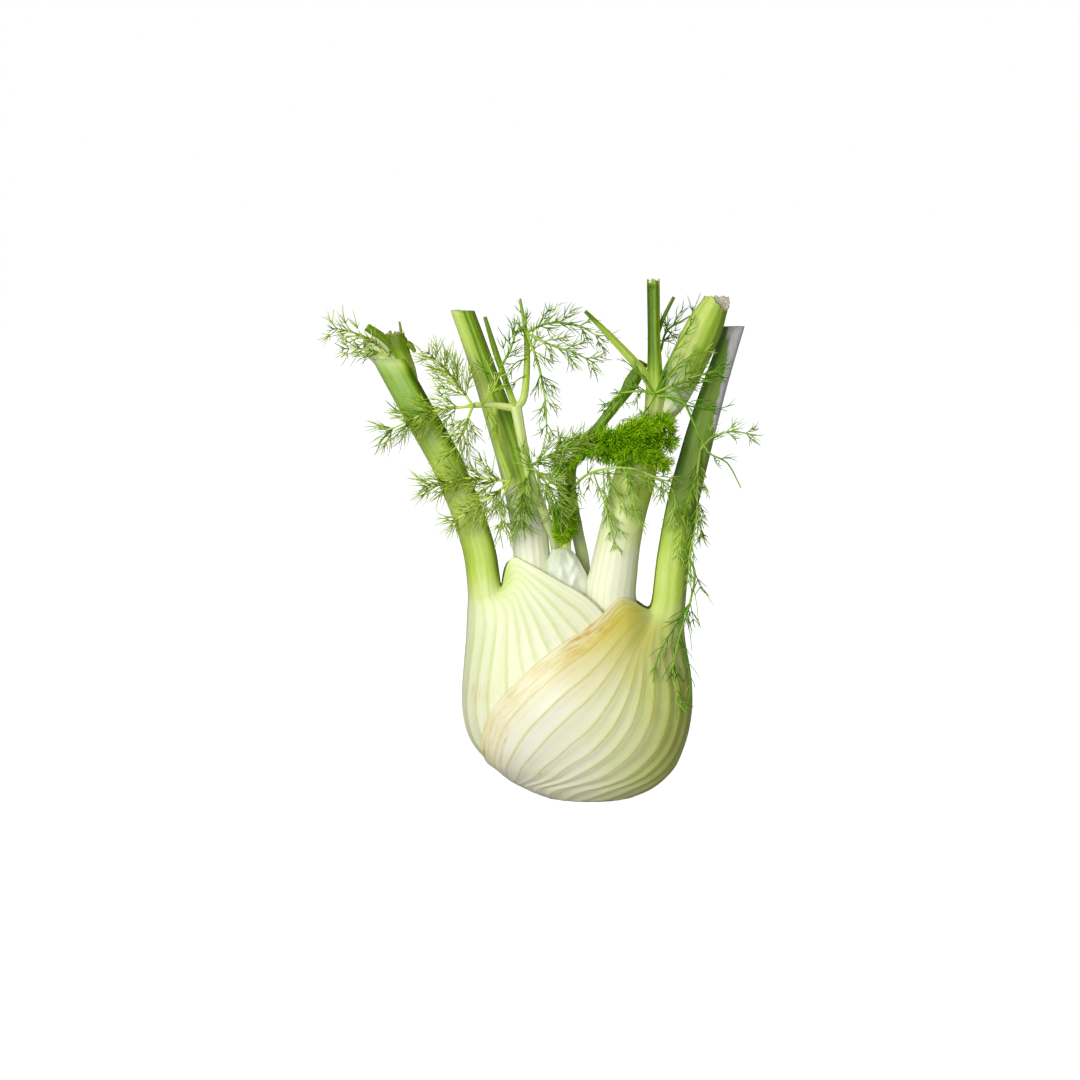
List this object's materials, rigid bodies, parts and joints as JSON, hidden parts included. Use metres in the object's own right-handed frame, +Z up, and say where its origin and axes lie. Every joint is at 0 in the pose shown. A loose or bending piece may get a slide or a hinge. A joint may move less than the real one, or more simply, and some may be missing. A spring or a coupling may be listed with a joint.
{
  "type": "fennel bulb",
  "caption": "Florence fennel bulb with ribbed clasping leaf bases, cut stalks and feathery fronds, standing on its trimmed root.",
  "frame": {"origin": "centre of the flat cut face under the root, where the bulb rests", "axes": "+Z up through the bulb, -Y towards the broad face on which the outermost leaf overlaps, +X towards that leaf's stalk"},
  "size_m": [0.1824, 0.0697, 0.2184],
  "materials": {
    "root": "cut woody root, matte and fibrous",
    "outer_leaf": "waxy ribbed leaf base, cream turning green up the stalk",
    "inner_leaf": "smooth waxy white to yellow-green stalk",
    "stem": "smooth thin green stem",
    "frond": "soft thread-like green leaflets"
  },
  "bodies": {
    "root": {"root_plate": "root", "right_outer_leaf": "outer_leaf", "left_outer_leaf": "outer_leaf", "inner_right_leaf": "inner_leaf", "inner_left_leaf": "inner_leaf", "slender_inner_stalk": "stem", "hooded_sheath": "inner_leaf", "forked_leaf_stem": "stem", "torn_shoot": "stem", "frond_left_top": "frond", "frond_left_upper": "frond", "frond_left_lower": "frond", "frond_airy": "frond", "frond_dark": "frond", "frond_centre": "frond", "frond_young": "frond", "frond_fluffy": "frond", "frond_arched": "frond", "frond_node": "frond", "frond_behind": "frond", "frond_right": "frond", "frond_hanging": "frond"}
  },
  "joints": []
}
